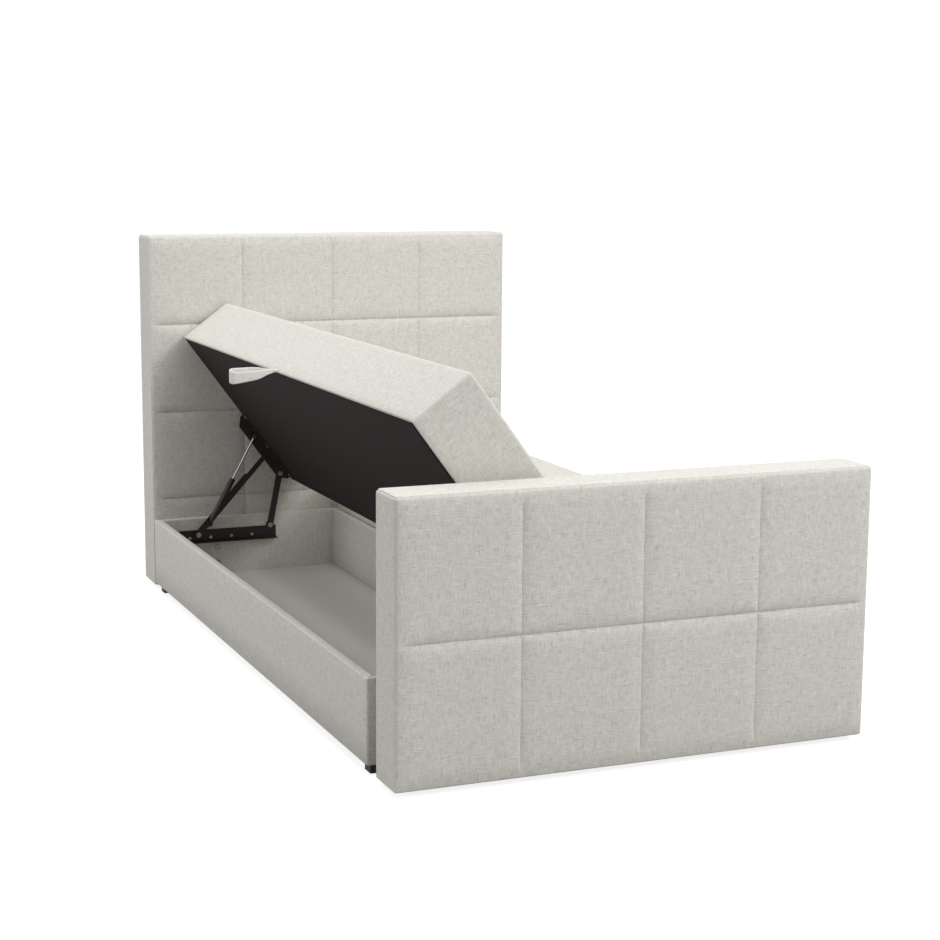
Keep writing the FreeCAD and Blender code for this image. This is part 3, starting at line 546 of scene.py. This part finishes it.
def stitchRow(name, lines, body, values, yarn):
    curve = bpy.data.curves.new(name, "CURVE")
    curve.dimensions = "3D"
    for points in lines:
        spline = curve.splines.new("POLY")
        spline.points.add(len(points) - 1)
        for slot, place in zip(spline.points, points):
            slot.co = (*place, 1)
    guide = bpy.data.objects.new(name, curve)
    bpy.context.scene.collection.objects.link(guide)
    modifier = guide.modifiers.new("stitches", "NODES")
    modifier.node_group = stitches
    sockets = {s.name: s.identifier for s in stitches.interface.items_tree if s.in_out == "INPUT"}
    for label, value in values.items():
        modifier[sockets[label]] = value
    modifier[sockets["Thread"]] = yarn
    mesh = bpy.data.meshes.new_from_object(guide.evaluated_get(bpy.context.evaluated_depsgraph_get()))
    bpy.data.objects.remove(guide)
    mesh.name = name
    mesh.polygons.foreach_set("use_smooth", [True] * len(mesh.polygons))
    obj = bpy.data.objects.new(name, mesh)
    bpy.context.scene.collection.objects.link(obj)
    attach(obj, body)


def surfaceLine(surface, start, end, direction):
    # Points on the finished pad under a straight line, found by casting along a direction.
    found = []
    for i in range(seamLine["steps"] + 1):
        place = Vector(start).lerp(Vector(end), i / seamLine["steps"])
        where = surface.ray_cast(place, Vector(direction))[0]
        if where:
            found.append(where - Vector(direction) * seamLine["lift"])
    return found


def padStitches(name, pad, low, high, uprights, levels):
    end, y, inward = padValues["seamEnd"], low[1] - seamLine["castFrom"], (0, 1, 0)
    surface = BVHTree.FromObject(pad, bpy.context.evaluated_depsgraph_get())
    lines = [surfaceLine(surface, (x, y, low[2] + end), (x, y, high[2] - end), inward) for x in uprights]
    lines += [surfaceLine(surface, (low[0] + end, y, z), (high[0] - end, y, z), inward) for z in levels]
    stitchRow(name, lines, "bed_base", seamStitch, thread)


padStitches("headboardStitches", *headPad)
padStitches("footboardStitches", *footPad)
print("stitches laid")


# Stretched cloths: back of the headboard and underside of the lids

rippleValues = {
    "calmEdge": 60 * mm,
    "broad": (5.0, 1.6, 3.1),      # waves per metre along both edges, and which slice of the noise
    "fine": (1.5, 7.0, 8.4),
    "fineShare": 0.5,
}
backClothValues = {"spacing": 24 * mm, "sag": 1.2 * mm, "thick": 0.6 * mm}
dustClothValues = {"spacing": 26 * mm, "sag": 0.0, "thick": 0.5 * mm, "inset": 6 * mm, "lift": 0.25 * mm}


def rippleWave(u, v):
    broad, fine = (noise.noise(Vector((u * across, v * along, cut)))
                   for across, along, cut in (rippleValues["broad"], rippleValues["fine"]))
    return broad + rippleValues["fineShare"] * fine


def stretchedCloth(name, corner, across, up, size, values):
    # A flat cut of cloth with its real thickness. Its shallow ripples go inwards and calm down at the edge.
    nu, nv = (max(2, round(s / values["spacing"])) for s in size)
    verts, faces, uvs = [], [], []
    across, up = Vector(across), Vector(up)
    out = across.cross(up).normalized()
    for j in range(nv + 1):
        for i in range(nu + 1):
            u, v = size[0] * i / nu, size[1] * j / nv
            calm = min(1.0, min(u, v, size[0] - u, size[1] - v) / rippleValues["calmEdge"])
            ripple = values["sag"] * calm * (rippleWave(u, v) - 1.0) / 2
            verts.append(Vector(corner) + across * u + up * v + out * ripple)
    for j in range(nv):
        for i in range(nu):
            a = j * (nu + 1) + i
            faces.append((a, a + 1, a + nu + 2, a + nu + 1))
            for du, dv in ((0, 0), (1, 0), (1, 1), (0, 1)):
                uvs.append((size[0] * (i + du) / nu, size[1] * (j + dv) / nv))
    cloth = meshObject(name, verts, faces, nonwoven, uvs)
    wall = cloth.modifiers.new("thick", "SOLIDIFY")
    wall.thickness = values["thick"]
    wall.offset = -1.0
    return cloth


clothLow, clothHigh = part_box("headboard_back_cloth")
backCut = (clothHigh.x - clothLow.x, clothHigh.z - clothLow.z)
backCorner = (clothHigh.x, clothHigh.y, clothLow.z)
backCloth = stretchedCloth("headboardBackCloth", backCorner, (-1, 0, 0), (0, 0, 1), backCut, backClothValues)
dressPiece(backCloth, "bed_base", ["headboard_back_cloth"])
print("headboard back covered")


# Lids, made closed on the right and turned up on the left

lidValues = {
    "openAngle": 53.5,
    "turnX": 24 * mm,
    "turnZ": 420 * mm,
    "fill": 0.9,
    "round": 8 * mm,
    "bottomRound": 1.2 * mm,
    "lean": 15 * mm,               # the inner side leans away from the other lid
    "crown": 6 * mm,
    "crownEnds": 12,               # a high power keeps the crown level until close to head and foot
    "crownRise": 4,                # and the sides flat below the top
    "spacing": 18 * mm,
    "looseFrom": 20 * mm,
    "pressure": 1.6,
    "frames": 14,
    "cap": 4 * mm,
    "slack": 0.004,
}
lidLow, lidHigh = (np.array(c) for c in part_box("right_lid_cover"))


def leftPlace(points):
    # Mirror a closed right lid's points to the left and swing them up to the rest position.
    a = math.radians(lidValues["openAngle"])
    dx = -points[:, 0] - lidValues["turnX"]
    dz = points[:, 2] - lidValues["turnZ"]
    placed = points.copy()
    placed[:, 0] = lidValues["turnX"] + dx * math.cos(a) + dz * math.sin(a)
    placed[:, 2] = lidValues["turnZ"] - dx * math.sin(a) + dz * math.cos(a)
    return placed


def lidForm(values):
    low, high = lidLow.copy(), lidHigh.copy()
    high[2] -= values["crown"]
    edge, bottom, spacing = values["round"], values["bottomRound"], values["spacing"]
    xs = gridLines(low[0], high[0], edge, edge, spacing)
    ys = gridLines(low[1], high[1], edge, edge, spacing)
    zs = gridLines(low[2], high[2], bottom, edge, spacing)
    verts, faces, sides, sharp = roundedForm(xs, ys, zs, (edge, edge, bottom), (edge, edge, edge))
    up = (verts[:, 2] - low[2]) / (high[2] - low[2])
    inward = (high[0] - verts[:, 0]) / (high[0] - low[0])
    middle = (low + high) / 2
    u = (verts[:, 0] - middle[0]) / (high[0] - low[0]) * 2
    v = (verts[:, 1] - middle[1]) / (high[1] - low[1]) * 2
    crown = (1 - u ** 2) * (1 - v ** values["crownEnds"]) * np.clip(up, 0, 1) ** values["crownRise"]
    verts[:, 0] += values["lean"] * up * inward
    verts[:, 2] += values["crown"] * crown
    inRim = rimDistance(sharp, low, high, (0, 1))
    held = ~(np.isclose(sharp[:, 2], high[2]) & (inRim > values["looseFrom"]))
    return verts, faces, clothUvs(sharp, faces, sides), held


lidVerts, lidFaces, lidUvs, lidHeld = lidForm(lidValues)
rightLid = meshObject("rightLidCover", lidVerts, lidFaces, linen, lidUvs)
puff(rightLid, lidHeld, lidValues)
flippedFaces = [f[::-1] for f in lidFaces]
flippedUvs = [lidUvs[4 * i + k] for i in range(len(lidFaces)) for k in (3, 2, 1, 0)]
leftLid = meshObject("leftLidCover", leftPlace(meshPoints(rightLid)), flippedFaces, linen, flippedUvs)
for side, lid in (("right", rightLid), ("left", leftLid)):
    dressPiece(lid, side + "_lid",
               [side + "_lid_cover", side + "_lid_foam", side + "_lid_spring_strips"])

inset = dustClothValues["inset"]
dustCut = (lidHigh[0] - lidLow[0] - 2 * inset, lidHigh[1] - lidLow[1] - 2 * inset)
dustCorner = (lidHigh[0] - inset, lidLow[1] + inset, lidLow[2] - dustClothValues["lift"])
for side in ("right", "left"):
    dustCloth = stretchedCloth(side + "LidDustCloth", dustCorner, (-1, 0, 0), (0, 1, 0), dustCut,
                               dustClothValues)
    if side == "left":
        dustCloth.data.vertices.foreach_set("co", leftPlace(meshPoints(dustCloth)).ravel())
        dustCloth.data.flip_normals()
    dressPiece(dustCloth, side + "_lid", [side + "_lid_dust_cover"])
print("lids made")


# Cover of the box walls and of the divider

boxValues = {
    "wall": 23 * mm,
    "corner": 7 * mm,
    "cornerSteps": 6,
    "edge": 5 * mm,
    "under": 14 * mm,
    "spacing": 30 * mm,
    "fill": 0.95,
    "ripple": 0.9 * mm,
    "rippleWaves": (6.0, 6.0, 9.0),  # per metre
    "calmShare": 0.05,             # no ripples in this lowest share of the wall, then more with height
    "calmSlope": 3,
    "topShare": 0.9,               # ripples also lower the cloth above this share of the height
    "topDip": 0.8,
    "mergeWithin": 0.001 * mm,
}
dividerValues = {"edge": 4 * mm, "under": 2 * mm, "steps": 60, "fill": 0.95}
profileValues = {
    "lip": 1.2 * mm,
    "crown": 0.3 * mm,
    "outsideShares": (0.35, 0.7),
    "insideShares": (0.6, 0.3),
    "edgeSteps": 5,
}


def roundedLoop(low, high, radius, spacing, steps):
    # Points round a rectangle with rounded corners, with the outward direction at each.
    centres = [Vector((high.x - radius, low.y + radius)), Vector((high.x - radius, high.y - radius)),
               Vector((low.x + radius, high.y - radius)), Vector((low.x + radius, low.y + radius))]
    points, outward = [], []
    for n, centre in enumerate(centres):
        for s in range(steps + 1):
            t = math.radians(90 * (n - 1) + 90 * s / steps)
            outward.append(Vector((math.cos(t), math.sin(t))))
            points.append(centre + radius * outward[-1])
        ahead = outward[-1]
        first, last = points[-1], centres[(n + 1) % len(centres)] + radius * ahead
        count = max(2, round((last - first).length / spacing))
        for s in range(1, count):
            points.append(first.lerp(last, s / count))
            outward.append(ahead)
    return points, outward


def wallProfile(wall, height, edge, under, values):
    # (distance inward, height): under the wall, up the outside, over the top, down the inside.
    lip, steps = values["lip"], values["edgeSteps"]
    profile = [(under, 0.0), (lip, 0.0), (0.0, lip)]
    profile += [(0.0, height * share) for share in values["outsideShares"]]
    turns = [math.pi / 2 * s / steps for s in range(steps + 1)]
    bend = [(edge - edge * math.cos(t), height - edge + edge * math.sin(t)) for t in turns]
    profile += bend
    profile.append((wall / 2, height + values["crown"]))
    profile += [(wall - inward, z) for inward, z in reversed(bend)]
    profile += [(wall, height * share) for share in values["insideShares"]]
    return profile + [(wall, 0.0)]


def boxCover(values):
    low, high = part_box("box_cover")
    height = high.z - low.z
    points, outward = roundedLoop(low, high, values["corner"], values["spacing"], values["cornerSteps"])
    profile = wallProfile(values["wall"], height, values["edge"], values["under"], profileValues)
    count, rows = len(points), len(profile)
    runs, lengths = [0.0], [0.0]
    for n in range(count):
        runs.append(runs[-1] + (points[(n + 1) % count] - points[n]).length)
    for a, b in zip(profile, profile[1:]):
        lengths.append(lengths[-1] + math.dist(a, b))
    waves = values["rippleWaves"]
    verts, faces, uvs = [], [], []
    for point, out in zip(points, outward):
        onCorner = abs(out.x * out.y) > tiny
        for inward, z in profile:
            # walls meet in a mitre, so no point goes past the line inward of both walls
            spot = point - out * inward
            spot.x = min(max(spot.x, low.x + inward), high.x - inward)
            spot.y = min(max(spot.y, low.y + inward), high.y - inward)
            calm = min(1.0, max(0.0, z / height - values["calmShare"]) * values["calmSlope"])
            wave = noise.noise(Vector((spot.x * waves[0], spot.y * waves[1], z * waves[2])))
            ripple = 0.0 if onCorner else values["ripple"] * abs(wave) * calm
            dip = values["topDip"] * ripple if z > height * values["topShare"] else 0.0
            verts.append((spot.x - out.x * ripple, spot.y - out.y * ripple, low.z + z - dip))
    for n in range(count):
        here, there = n * rows, (n + 1) % count * rows
        for k in range(rows - 1):
            faces.append((here + k, there + k, there + k + 1, here + k + 1))
            uvs += [(runs[n + dn], lengths[k + dk]) for dn, dk in ((0, 0), (1, 0), (1, 1), (0, 1))]
    cover = meshObject("boxCover", verts, faces, linen, uvs)
    merged = bmesh.new()
    merged.from_mesh(cover.data)
    bmesh.ops.remove_doubles(merged, verts=merged.verts, dist=values["mergeWithin"])
    merged.to_mesh(cover.data)
    merged.free()
    return cover


def dividerCover(values):
    low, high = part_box("divider_cover")
    profile = wallProfile(high.x - low.x, high.z - low.z, values["edge"], values["under"], profileValues)
    count, rows = values["steps"], len(profile)
    verts, faces, uvs = [], [], []
    for n in range(count + 1):
        y = low.y + (high.y - low.y) * n / count
        verts += [(low.x + inward, y, low.z + z) for inward, z in profile]
    for n in range(count):
        for k in range(rows - 1):
            corners = ((n, k), (n, k + 1), (n + 1, k + 1), (n + 1, k))
            faces.append([a * rows + b for a, b in corners])
            uvs += [(verts[a * rows + b][1], sum(profile[b])) for a, b in corners]
    cover = meshObject("dividerCover", verts, faces, linen, uvs)
    cover.data.flip_normals()
    return cover


boxPiece = boxCover(boxValues)
dressPiece(boxPiece, "bed_base", ["box_cover"])
dividerPiece = dividerCover(dividerValues)
dressPiece(dividerPiece, "bed_base", ["divider_cover"])
print("box covered")


# Pull straps: a folded strip of paler cloth, sewn into the lid's lower edge at both ends

strapValues = {
    "length": 133 * mm,
    "width": 36 * mm,
    "thick": 2.0 * mm,
    "root": 1.3 * mm,
    "flatTo": 16.8 * mm,           # the layers lie together up to here
    "openFrom": 70 * mm,           # and stand fully apart from here
    "layerSteps": 14,
    "bendSteps": 10,
    "acrossSteps": 6,
    "stitchInset": 3.2 * mm,
    "stitchLift": 0.1 * mm,
    "raisedGap": 28 * mm,
    "raisedRoll": 15,
    "raisedAlong": (0, 50 * mm, 140 * mm),
    "raisedLow": (1.5 * mm, -13 * mm, -27 * mm),
    "raisedHigh": (5.5 * mm, 9.5 * mm, 8 * mm),
    "hangingGap": 12 * mm,
    "hangingOff": 9.4 * mm,
    "hangingTop": 4 * mm,
}
strapStitch = {"Pitch": 5 * mm, "Stitch Length": 3.8 * mm, "Thread Radius": 0.5 * mm}
strapY = float((lidLow[1] + lidHigh[1]) / 2)
strapRoot = leftPlace(np.array([[lidHigh[0], strapY, lidLow[2]]]))[0]
strapRoll = math.radians(strapValues["raisedRoll"])


def strapLayer(values, gap):
    # (along, across) of one layer, from the seam to where the fold begins.
    halfGap = (gap + values["thick"]) / 2
    tip = values["length"] - halfGap - values["thick"] / 2
    layer = []
    for i in range(values["layerSteps"] + 1):
        along = tip * i / values["layerSteps"]
        spread = float(smoothStep(values["flatTo"], values["openFrom"], np.array(along)))
        layer.append((along, values["root"] + (halfGap - values["root"]) * spread))
    return layer


def strapPath(values, gap):
    # Down one layer, round the fold and back up the other.
    layer = strapLayer(values, gap)
    tip, halfGap = layer[-1]
    turns = [math.pi * i / values["bendSteps"] for i in range(1, values["bendSteps"])]
    bend = [(tip + halfGap * math.sin(t), halfGap * math.cos(t)) for t in turns]
    return layer + bend + [(along, -across) for along, across in reversed(layer)]


def strapPiece(name, place, edges, values, gap):
    path = strapPath(values, gap)
    steps = values["acrossSteps"]
    runs = [0.0]
    for a, b in zip(path, path[1:]):
        runs.append(runs[-1] + math.dist(a, b))
    verts, faces, uvs = [], [], []
    for along, across in path:
        low, high = edges(along)
        verts += [place(along, across, low + (high - low) * k / steps) for k in range(steps + 1)]
    for n in range(len(path) - 1):
        for k in range(steps):
            q = n * (steps + 1) + k
            faces.append((q, q + 1, q + steps + 2, q + steps + 1))
            for i, j in ((n, k), (n, k + 1), (n + 1, k + 1), (n + 1, k)):
                uvs.append((runs[i], values["width"] * j / steps))
    strap = meshObject(name, verts, faces, strapLinen, uvs)
    wall = strap.modifiers.new("thick", "SOLIDIFY")
    wall.thickness = values["thick"]
    wall.offset = 0.0
    subdivide(strap)
    return strap


def strapStitches(name, body, place, edges, values, gap):
    # A row along both edges of each layer, on its outer face.
    lift = values["thick"] / 2 + values["stitchLift"]
    lines = []
    for edge, inset in ((0, values["stitchInset"]), (1, -values["stitchInset"])):
        for face in (1, -1):
            lines.append([place(along, face * (across + lift), edges(along)[edge] + inset)
                          for along, across in strapLayer(values, gap)])
    stitchRow(name, lines, body, strapStitch, paleThread)


def raisedSpot(along, across, wide):
    # rolled a little, so that its far layer shows above the near one
    return Vector((strapRoot[0] - along, strapY + across * math.cos(strapRoll),
                   strapRoot[2] + wide + across * math.sin(strapRoll)))


def raisedEdges(along):
    return [float(np.interp(along, strapValues["raisedAlong"], strapValues[side]))
            for side in ("raisedLow", "raisedHigh")]


def hangingSpot(along, across, wide):
    return Vector((lidHigh[0] + strapValues["hangingOff"] + across, strapY + wide,
                   lidLow[2] + strapValues["hangingTop"] - along))


def hangingEdges(along):
    return -strapValues["width"] / 2, strapValues["width"] / 2


straps = {
    "left": (raisedSpot, raisedEdges, strapValues, strapValues["raisedGap"]),
    "right": (hangingSpot, hangingEdges, strapValues, strapValues["hangingGap"]),
}
for side, strapShape in straps.items():
    strapObject = strapPiece(side + "PullStrap", *strapShape)
    dressPiece(strapObject, side + "_lid", [side + "_pull_strap"])
for side, strapShape in straps.items():
    strapStitches(side + "StrapStitches", side + "_lid", *strapShape)
print("straps made")


# Floor, light and camera

stageValues = {
    "floorHalf": 60,               # metres from the middle to each edge
    "tone": (0.4, 0.4, 0.4, 1),
    "glow": 0.83,                  # seen by the camera on top of the light that the floor gets
    "sky": 0.5,                    # light from all round
    "white": (1, 1, 1, 1),
}


def seenDirectly(tree):
    # 1 for what the camera sees, also in a mirror, and 0 for the light that falls on the bed
    rays = addNode(tree, "ShaderNodeLightPath")
    return addNode(tree, "ShaderNodeMath",
                   {0: rays.outputs["Is Camera Ray"], 1: rays.outputs["Is Glossy Ray"]},
                   operation="MAXIMUM").outputs[0]


def stageMaterial(values):
    # Matt pale floor that is white to the camera where nothing shades it and keeps the shadow of the bed.
    material, tree, shader = startMaterial("paleStudioFloor")
    surface = shader.outputs["BSDF"].links[0].to_socket
    shader.inputs["Base Color"].default_value = values["tone"]
    shader.inputs["Roughness"].default_value = 0.9
    shader.inputs["Specular IOR Level"].default_value = 0.0
    strength = addNode(tree, "ShaderNodeMath", {0: seenDirectly(tree), 1: values["glow"]},
                       operation="MULTIPLY")
    glow = addNode(tree, "ShaderNodeEmission", {"Color": values["white"], "Strength": strength.outputs[0]})
    both = addNode(tree, "ShaderNodeAddShader", {0: shader.outputs[0], 1: glow.outputs[0]})
    tree.links.new(both.outputs[0], surface)
    return material


def stageWorld(values):
    # White to the camera, dimmer as light.
    world = bpy.data.worlds.new("studioWorld")
    world.use_nodes = True
    tree = world.node_tree
    tree.nodes.clear()
    strength = addNode(tree, "ShaderNodeMapRange", {0: seenDirectly(tree), 3: values["sky"], 4: 1.0})
    sky = addNode(tree, "ShaderNodeBackground", {"Color": values["white"], "Strength": strength.outputs[0]})
    addNode(tree, "ShaderNodeOutputWorld", {"Surface": sky.outputs[0]})
    bpy.context.scene.world = world


half = stageValues["floorHalf"]
floorCorners = [(-half, -half, 0), (half, -half, 0), (half, half, 0), (-half, half, 0)]
floor = meshObject("studioFloor", floorCorners, [(0, 1, 2, 3)], stageMaterial(stageValues))
stageWorld(stageValues)

# places and sizes in metres, power in watts
lampValues = {
    "overheadSoft": {"place": (-0.6, 0.3, 4.2), "aim": (-0.3, 0.2, 0.4), "size": (3.2, 3.2), "power": 88},
    "rightKey": {"place": (2.9, -1.8, 3.9), "aim": (-0.2, 0.6, 0.6), "size": (0.6, 0.6), "power": 42},
    "frontFill": {"place": (2.2, -5.2, 4.1), "aim": (0, -0.6, 0.6), "size": (3.0, 2.6), "power": 172},
    "leftFill": {"place": (-5.2, 1.6, 2.0), "aim": (0, 0, 0.5), "size": (3.0, 2.4), "power": 58},
}
for lampName, lampValue in lampValues.items():
    lamp = bpy.data.lights.new(lampName, "AREA")
    lamp.shape = "RECTANGLE"
    lamp.size, lamp.size_y = lampValue["size"]
    lamp.energy = lampValue["power"]
    lampObject = bpy.data.objects.new(lampName, lamp)
    lampObject.location = lampValue["place"]
    lampAim = Vector(lampValue["aim"]) - Vector(lampValue["place"])
    lampObject.rotation_euler = lampAim.to_track_quat("-Z", "Y").to_euler()
    bpy.context.scene.collection.objects.link(lampObject)

# place in metres, turns in radians, sensor in millimetres
cameraValues = {
    "place": (-2.0201, -4.9641, 1.4106),
    "yaw": 0.3963,
    "pitch": 0.1657,
    "roll": 0.0071,
    "focalPixels": 1947.72,
    "framePixels": 940,
    "sensorWide": 36,
}


def cameraTurn(yaw, pitch, roll):
    ahead = Vector((math.sin(yaw) * math.cos(pitch), math.cos(yaw) * math.cos(pitch), -math.sin(pitch)))
    level = Vector((math.cos(yaw), -math.sin(yaw), 0))
    upright = level.cross(ahead)
    sideways = level * math.cos(roll) + upright * math.sin(roll)
    upward = upright * math.cos(roll) - level * math.sin(roll)
    return Matrix((sideways, upward, -ahead)).transposed().to_4x4()


camera = bpy.data.cameras.new("photoCamera")
camera.sensor_width = cameraValues["sensorWide"]
camera.lens = cameraValues["focalPixels"] / cameraValues["framePixels"] * camera.sensor_width
cameraObject = bpy.data.objects.new("photoCamera", camera)
turn = cameraTurn(cameraValues["yaw"], cameraValues["pitch"], cameraValues["roll"])
cameraObject.matrix_world = Matrix.Translation(cameraValues["place"]) @ turn
bpy.context.scene.collection.objects.link(cameraObject)
bpy.context.scene.camera = cameraObject
bpy.context.scene.view_settings.view_transform = "Standard"

print("scene complete")
